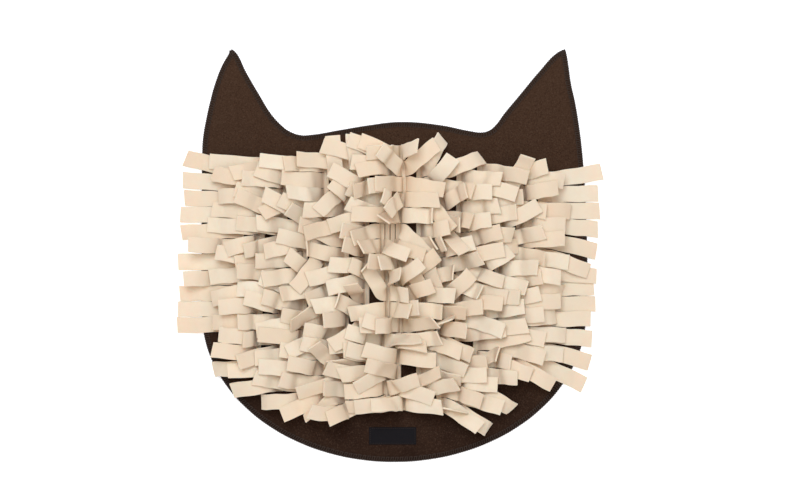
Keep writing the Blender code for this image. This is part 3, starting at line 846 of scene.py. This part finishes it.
def strip_run(knots, side):
    """Smooth sections of a strip: (centre, along, across), root first."""
    outward = np.array([side, 0.0, 0.0])
    centres = smooth_run([k[0] for k in knots], outward * STEPS[0] * ROOT_PULL)
    across = smooth_run([k[2] for k in knots], outward * 0)
    run = []
    for k, centre in enumerate(centres):
        along = unit(centres[min(k + 1, len(centres) - 1)] - centres[k - 1]) if k else outward
        run.append((centre, along, unit(across[k] - along * np.dot(across[k], along))))
    return run


def strip_points(knots, side, flare, rng):
    """Rows of points over a strip, from its root to its cut end."""
    run = strip_run(knots, side)
    crown = rng.uniform(CUP_LOW, CUP_HIGH)
    skew = rng.gauss(0, CUT_SKEW)
    phase, waves = rng.uniform(0, math.tau), rng.uniform(*CUT_WAVES)
    rows = []
    for k, (centre, along, across) in enumerate(run):
        share = k / (len(run) - 1)
        up = cross(along, across)
        waver = CUT_WAVER * math.sin(phase + waves * math.tau * share) * smooth(share * 4)
        waist = ROOT_WAIST * smooth(share * 8) * (1 - smooth(share * 1.6))
        wide = STRIP_SHOWN * (1 + flare * share) - waist
        row = []
        for j in range(ACROSS + 1):
            u = j / ACROSS - 0.5
            bulge = crown * (1 - 4 * u * u) * smooth(share * 3)
            slip = skew * u * STRIP_SHOWN * smooth(share * 4 - 3)
            row.append(centre + across * (u * wide + waver) + up * bulge + along * slip)
        rows.append(row)
    return rows


def heading_columns(band):
    """Points across a heading, from its inner edge over the seam to its cut edge, top first."""
    columns = []
    for row in range(band.rows):
        seam = seam_of(band, row)
        inner = seam - band.side * HEADING_SHOWN
        stitched = seam - band.side * HEADING / 2
        places = ((inner, ROOT_Z), (stitched, ROOT_Z - SEAM_DIP), (seam, ROOT_Z))
        for j in range(ACROSS + 1):
            y = band.top_y - row * ROW_PITCH + STRIP_SHOWN * (0.5 - j / ACROSS)
            columns.append([(x, y, z) for x, z in places])
    return columns


def room_to_flare(strips, row):
    """How much wider a strip can get at its tip before it reaches its neighbours."""
    tip = strips[row][-1][0]
    apart = [abs(strips[r][-1][0][1] - tip[1]) for r in (row - 1, row + 1) if r in strips]
    return max(0.0, FLARE_LEFT * (min(apart) / STRIP_SHOWN - 1))


def fringe_mesh(name, band, strips, flare, shade_warmth, rng):
    """One band: its heading with the seam pressed in, and its strips, as one open sheet."""
    bm = bmesh.new()
    cloth = bm.loops.layers.uv.new("cloth")
    tone = bm.verts.layers.float.new("tone")
    root_shade = bm.verts.layers.float.new("root_shade")
    columns = [[bm.verts.new(p) for p in column] for column in heading_columns(band)]
    flat = {v: (v.co.x, v.co.y) for column in columns for v in column}
    # painted shade on the headings, which lie under the strips
    for v in flat:
        v[root_shade] = HEADING_SHADE
    for a, b in zip(columns, columns[1:]):
        for k in range(2):
            bm.faces.new((a[k], a[k + 1], b[k + 1], b[k]))
    for row in range(band.rows):
        if row not in strips:
            continue
        shade = min(1.0, max(0.0, rng.gauss(0.5, TONE_SPREAD)))
        first = row * (ACROSS + 1)
        last = [column[2] for column in columns[first:first + ACROSS + 1]]
        origin = (rng.uniform(0, 1), rng.uniform(0, 1))
        wider = min(flare, room_to_flare(strips, row))
        points = strip_points(strips[row], band.side, wider, rng)
        if band.side > 0:
            points = [line[::-1] for line in points]
        for k, line in enumerate(points[1:], 1):
            fresh = [bm.verts.new(p) for p in line]
            share = k / (len(points) - 1)
            for j, v in enumerate(fresh):
                v[tone] = shade
                # painted shade, fading out along the strip from its root
                v[root_shade] = shade_warmth * (1 - smooth(share / ROOT_SHADE_SHARE))
                flat[v] = (origin[0] + share * STRIP_LONG, origin[1] + j * STRIP_WIDE / ACROSS)
            for j in range(ACROSS):
                bm.faces.new((last[j], fresh[j], fresh[j + 1], last[j + 1]))
            last = fresh
    for face in bm.faces:
        for corner in face.loops:
            corner[cloth].uv = flat[corner.vert]
    bmesh.ops.recalc_face_normals(bm, faces=bm.faces)
    mesh = bpy.data.meshes.new(name)
    bm.to_mesh(mesh)
    bm.free()
    return mesh


def make_fringe(number, band, strips, material, rng):
    name = f"fleece_fringe_{number:02d}"
    flare = FLARE_SIDES if number in (1, len(BANDS)) else 0.0
    # painted root shade, weaker on the four middle fringes
    shade_warmth = PARTING_SHADE if abs(band.seam_x) < MEANDERS_WITHIN else 1.0
    mesh = fringe_mesh(name, band, strips, flare, shade_warmth, rng)
    item = new_piece(name, mesh, material)
    add_modifier(item, "SOLIDIFY", thickness=FLEECE_SHOWN, offset=0.0, use_rim=True)
    round_edges(item, FLEECE_EDGE, 1, FLEECE_SHARP)
    soften(item, SMOOTH_UNDER)
    add_modifier(item, "WEIGHTED_NORMAL", keep_sharp=True)
    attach(item, "root")
    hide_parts(f"fringe_{number:02d}")
    return item


# ---- felt base
def edge_points():
    """Points of the felt's cut edge, from the same soft curve as its solid."""
    curve = bpy.data.curves.new("edge", "CURVE")
    curve.dimensions = "2D"
    curve.resolution_u = 16
    outline = head_outline(CHIN_POINTS)
    spline = curve.splines.new("BEZIER")
    spline.bezier_points.add(len(outline) - 1)
    for point, (x, y) in zip(spline.bezier_points, outline):
        point.co = (x, y, 0.0)
        kind = "VECTOR" if (x, y) in EAR_TIPS else "AUTO"
        point.handle_left_type = point.handle_right_type = kind
    spline.use_cyclic_u = True
    item = link(bpy.data.objects.new("edge", curve))
    make_active(item)
    bpy.ops.object.convert(target="MESH")
    points = np.array([v.co[:2] for v in item.data.vertices])
    bpy.data.objects.remove(item, do_unlink=True)
    return points


def evenly(points, step):
    """Points along a closed line, evenly spaced; the ear tips stay points."""
    closed = np.vstack([points, points[:1]])
    reach = np.concatenate([[0], np.cumsum(np.linalg.norm(np.diff(closed, axis=0), axis=1))])
    stops = [0.0] + sorted(
        reach[np.argmin(np.linalg.norm(points - np.array(tip), axis=1))] for tip in EAR_TIPS
    ) + [reach[-1]]
    places = []
    for a, b in zip(stops, stops[1:]):
        count = max(1, round((b - a) / step))
        places += [a + (b - a) * k / count for k in range(count)]
    x = np.interp(places, reach, closed[:, 0])
    y = np.interp(places, reach, closed[:, 1])
    return np.stack([x, y], -1)


def signed_area(edge):
    """Area inside a closed line, above zero if it runs anticlockwise."""
    x, y = edge[:, 0], edge[:, 1]
    return float(np.sum(x * np.roll(y, -1) - y * np.roll(x, -1))) / 2


def inward_of(points):
    """Unit directions into the cloth at each point of a closed line."""
    ahead = np.roll(points, -1, 0) - np.roll(points, 1, 0)
    ahead /= np.linalg.norm(ahead, axis=1)[:, None]
    return np.stack([-ahead[:, 1], ahead[:, 0]], -1) * np.sign(signed_area(points))


def edge_distance(points, edge):
    """How far each point is from the cut edge."""
    a, b = edge, np.roll(edge, -1, 0)
    out = np.full(len(points), FAR)
    for start, end in zip(a, b):
        d = end - start
        t = np.clip(((points - start) @ d) / (d @ d), 0, 1)
        out = np.minimum(out, np.linalg.norm(points - start - t[:, None] * d, axis=1))
    return out


def is_inside(points, edge):
    inside = np.zeros(len(points), bool)
    for (x1, y1), (x2, y2) in zip(edge, np.roll(edge, -1, 0)):
        crosses = (y1 > points[:, 1]) != (y2 > points[:, 1])
        if y1 != y2:
            inside ^= crosses & (points[:, 0] < x1 + (x2 - x1) * (points[:, 1] - y1) / (y2 - y1))
    return inside


def felt_thickness(away):
    """Share of the felt's thickness left, by distance from the edge: the thread pinches it."""
    edge = 1 - (1 - EDGE_PINCH) * np.exp(-((away / EDGE_RUN) ** 2))
    groove = 1 - (1 - GROOVE_PINCH) * np.exp(-(((away - GROOVE_AT) / GROOVE_WIDE) ** 2))
    return edge * groove


def make_base(edge, material):
    """The felt: one flat sheet, thinner at the sewn edge and in the groove beside it."""
    outline = evenly(edge, OUTLINE_STEP)
    inward = inward_of(outline)
    points = []
    for depth in FELT_RINGS:
        ring = outline + inward * depth
        points.append(ring[edge_distance(ring, outline) > depth * KEPT_OFF])
    low, high = outline.min(0), outline.max(0)
    gx, gy = np.meshgrid(*(np.arange(a, b, FELT_GRID) for a, b in zip(low, high)))
    grid = np.stack([gx.ravel(), gy.ravel()], -1)
    grid = grid[is_inside(grid, outline)]
    points.append(grid[edge_distance(grid, outline) > FELT_RINGS[-1] + FELT_GRID / 2])
    places = [Vector(p) for p in np.vstack([outline] + points)]
    count = len(outline)
    ring_edges = [(k, (k + 1) % count) for k in range(count)]
    verts, _, faces = delaunay_2d_cdt(places, ring_edges, [], 1, SAME_POINT)[:3]
    mesh = bpy.data.meshes.new("felt_base")
    mesh.from_pydata([(v.x, v.y, BASE_THICK / 2) for v in verts], [], faces)
    item = new_piece("felt_base", mesh, material)
    away = edge_distance(np.array([v[:] for v in verts]), outline)
    # mask of the felt under the overlock, for painted shade there
    sewn = mesh.attributes.new("sewn", "FLOAT", "POINT")
    under_thread = (OVERLOCK_WIDE * 1.3 - away) / (OVERLOCK_WIDE * 0.5)
    sewn.data.foreach_set("value", np.clip(under_thread, 0, 1))
    pinch = item.vertex_groups.new(name="thickness")
    for k, weight in enumerate(felt_thickness(away)):
        pinch.add([k], float(weight), "REPLACE")
    add_modifier(item, "SOLIDIFY", thickness=BASE_THICK, offset=0.0, vertex_group="thickness")
    round_edges(item, FELT_EDGE, 2, SHARP)
    make_active(item)
    bpy.ops.object.mode_set(mode="EDIT")
    bpy.ops.mesh.select_all(action="SELECT")
    bpy.ops.mesh.normals_make_consistent(inside=False)
    bpy.ops.object.mode_set(mode="OBJECT")
    soften(item, SMOOTH_UNDER)
    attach(item, "root")
    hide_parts("base")
    return item


def make_overlock(edge, material, rng):
    """Thread wound over the edge, with the chain that holds it along the outside."""
    line = evenly(edge, OVERLOCK_PITCH)
    inward = inward_of(line)
    ahead = np.roll(line, -1, 0) - line
    top, pinched = BASE_THICK, (1 - EDGE_PINCH) * BASE_THICK / 2
    runs, chain = [], []
    for p, n, d in zip(line, inward, ahead):
        reach = OVERLOCK_WIDE * rng.uniform(*OVERLOCK_REACH)
        lean = d * rng.uniform(*OVERLOCK_LEAN)
        profile = (  # distance into the cloth, shift along the edge, height
            (reach, lean, top - 0.00020),
            (reach * 0.62, lean * 0.6, top + BULKY_THREAD * 0.8),
            (0.0008, lean * 0.1, top - pinched + BULKY_THREAD * 0.8),
            (-BULKY_THREAD, lean * 0, top * 0.62),
            (-BULKY_THREAD, -lean * 0.1, top * 0.30),
            (0.0010, -lean * 0.3, pinched),
            (reach * 0.7, -lean * 0.6, BULKY_THREAD),
        )
        runs.append([(*(p + n * a + shift), z) for a, shift, z in profile])
        sway = rng.uniform(-CHAIN_SWAY, CHAIN_SWAY)
        chain.append((*(p - n * BULKY_THREAD * 1.3), top * 0.5 + sway))
        chain.append((*(p + d / 2 - n * BULKY_THREAD * 0.3), top * 0.66 + sway))
    runs.append(chain + chain[:1])
    runs += tail_of_thread(np.array(EAR_TIPS[1]))
    needle = line + inward * OVERLOCK_WIDE * KEPT_OFF
    keep = edge_distance(needle, evenly(edge, OUTLINE_STEP)) > OVERLOCK_WIDE * NEEDLE_OFF
    for k in range(0, len(needle) - 2, 2):
        if keep[k] and keep[k + 1]:
            a, b = needle[k], needle[k + 1] + (needle[k + 2] - needle[k + 1]) * 0.7
            runs.append(stitch(a, b, top - 0.0002, NEEDLE_STITCH))
    return thread_work("overlock_thread", runs, BULKY_THREAD, material)


def tail_of_thread(tip):
    """The clipped end of the overlock, a small tuft beside one ear tip."""
    runs = []
    for k in range(TAIL_ENDS):
        a = math.radians(TAIL_TURN + TAIL_FAN * k)
        out = np.array([math.cos(a), math.sin(a)])
        start = tip + np.array([-0.0004, -0.0016])
        middle = start + out * TAIL_LONG * 0.6
        end = middle + np.array([0.0, -1.0]) * TAIL_LONG * 0.4
        high = BASE_THICK + BULKY_THREAD * 2
        runs.append([(*start, BASE_THICK), (*middle, high), (*end, BASE_THICK)])
    return runs


# ---- seams and label
def make_seams(material):
    """A row of stitches down each heading."""
    z = ROOT_Z - SEAM_DIP + FLEECE_SHOWN / 2
    runs = []
    for band in BANDS:
        y = band.top_y + STRIP_WIDE / 2 - STITCH_GAP
        end = band.top_y - (band.rows - 1) * ROW_PITCH - STRIP_WIDE / 2
        while y - STITCH_LONG > end:
            x = seam_of(band, (band.top_y - y) / ROW_PITCH) - band.side * HEADING / 2
            runs.append(stitch((x, y), (x, y - STITCH_LONG), z, SEAM_STITCH))
            y -= STITCH_LONG + STITCH_GAP
    return thread_work("heading_seams", runs, THREAD * 0.9, material)


def make_label(material, thread):
    """A bare woven label: a thin ribbon with its ends turned under, sewn down all round."""
    z = BASE_THICK + GAP + LABEL_THICK / 2
    deselect_all()
    bpy.ops.mesh.primitive_grid_add(x_subdivisions=LABEL_COLUMNS, y_subdivisions=LABEL_ROWS,
                                    size=1, location=(LABEL_X, LABEL_Y, z))
    item = bpy.context.active_object
    item.name = item.data.name = "ribbon_label"
    item.scale = (LABEL_WIDE, LABEL_HIGH, 1)
    bpy.ops.object.transform_apply(location=True, rotation=True, scale=True)
    for v in item.data.vertices:
        u = abs(v.co.x - LABEL_X) / (LABEL_WIDE / 2)
        w = abs(v.co.y - LABEL_Y) / (LABEL_HIGH / 2)
        v.co.z += (LABEL_FOLD * smooth((u - FOLD_FROM) / FOLD_RUN)
                   + LABEL_CROWN * (1 - u ** 6) * (1 - w ** 4))
    item.data.materials.append(material)
    add_modifier(item, "SOLIDIFY", thickness=LABEL_THICK, offset=0.0)
    round_edges(item, LABEL_EDGE, 2, SHARP)
    soften(item, SMOOTH_UNDER)
    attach(item, "root")
    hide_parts("label")
    return item, make_label_stitches(z + LABEL_THICK / 2, thread)


def make_label_stitches(z, thread):
    half_x, half_y = LABEL_WIDE / 2 - LABEL_INSET, LABEL_HIGH / 2 - LABEL_INSET
    corners = [np.array([LABEL_X + half_x * i, LABEL_Y + half_y * j])
               for i, j in ((-1, -1), (1, -1), (1, 1), (-1, 1))]
    pitch = LABEL_STITCH_LONG + LABEL_STITCH_GAP
    runs = []
    for a, b in zip(corners, corners[1:] + corners[:1]):
        far = np.linalg.norm(b - a)
        way = (b - a) / far
        for k in range(int(far / pitch)):
            start = a + way * k * pitch
            runs.append(stitch(start, start + way * LABEL_STITCH_LONG, z, LABEL_STITCH))
    return thread_work("label_stitches", runs, THREAD * 0.6, thread)


# ---- studio
def make_floor():
    material, _, shader = new_material("white_floor")
    set_plain(shader, Base_Color=FLOOR_WHITE, Roughness=0.9, Specular_IOR_Level=0.0,
              Emission_Color=(1, 1, 1, 1), Emission_Strength=FLOOR_GLOW)
    deselect_all()
    bpy.ops.mesh.primitive_plane_add(size=FLOOR_WIDE, location=(0, 0, FLOOR_Z))
    floor = bpy.context.active_object
    floor.name = "studio_floor"
    floor.data.materials.append(material)


def add_light(name, place, size, power):
    light = bpy.data.lights.new(name, "AREA")
    light.shape, light.size = "DISK", size
    light.energy, light.color = power, LAMP_COLOUR
    item = link(bpy.data.objects.new(name, light))
    item.location = place
    item.rotation_mode = "QUATERNION"
    item.rotation_quaternion = (-Vector(place)).to_track_quat("-Z", "Y")


def make_studio():
    make_floor()
    world = bpy.data.worlds.new("soft_daylight")
    world.use_nodes = True
    set_plain(world.node_tree.nodes["Background"], Color=WORLD_COLOUR, Strength=WORLD_LIGHT)
    bpy.context.scene.world = world
    for lamp in LAMPS:
        add_light(*lamp)
    bpy.context.scene.view_settings.view_transform = "Standard"

    data = bpy.data.cameras.new("camera")
    data.sensor_width = SENSOR
    data.lens = SENSOR * CAMERA_HIGH / (PICTURE_WIDE * PIXEL)
    camera = link(bpy.data.objects.new("camera", data))
    camera.location = (CAMERA_X, CAMERA_Y, CAMERA_HIGH)
    bpy.context.scene.camera = camera


def make_mat():
    nap, mottle = nap_group(), mottle_group()
    fleece = fleece_material(nap, mottle)
    felt = felt_material(nap, mottle)
    dark_thread = thread_material("dark_thread", DARK_THREAD, 0.04)
    cream_thread = thread_material("cream_thread", CREAM_THREAD, 0.05)
    ribbon = label_material()

    edge = edge_points()
    base = make_base(edge, felt)
    overlock = make_overlock(edge, dark_thread, random.Random(SEED))
    seams = make_seams(cream_thread)

    label, stitches = make_label(ribbon, dark_thread)

    laid = lay_strips()
    rng = random.Random(SEED + 1)
    for b, band in enumerate(BANDS):
        strips = {row: laid[b, row] for row in range(band.rows) if (b, row) in laid}
        fringe = make_fringe(b + 1, band, strips, fleece, rng)


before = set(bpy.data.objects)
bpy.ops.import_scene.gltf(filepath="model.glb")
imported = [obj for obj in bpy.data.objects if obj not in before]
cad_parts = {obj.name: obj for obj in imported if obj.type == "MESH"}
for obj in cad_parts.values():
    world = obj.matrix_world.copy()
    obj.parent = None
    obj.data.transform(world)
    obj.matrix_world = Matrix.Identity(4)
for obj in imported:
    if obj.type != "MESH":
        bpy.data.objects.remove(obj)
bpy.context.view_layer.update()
make_mat()
make_studio()
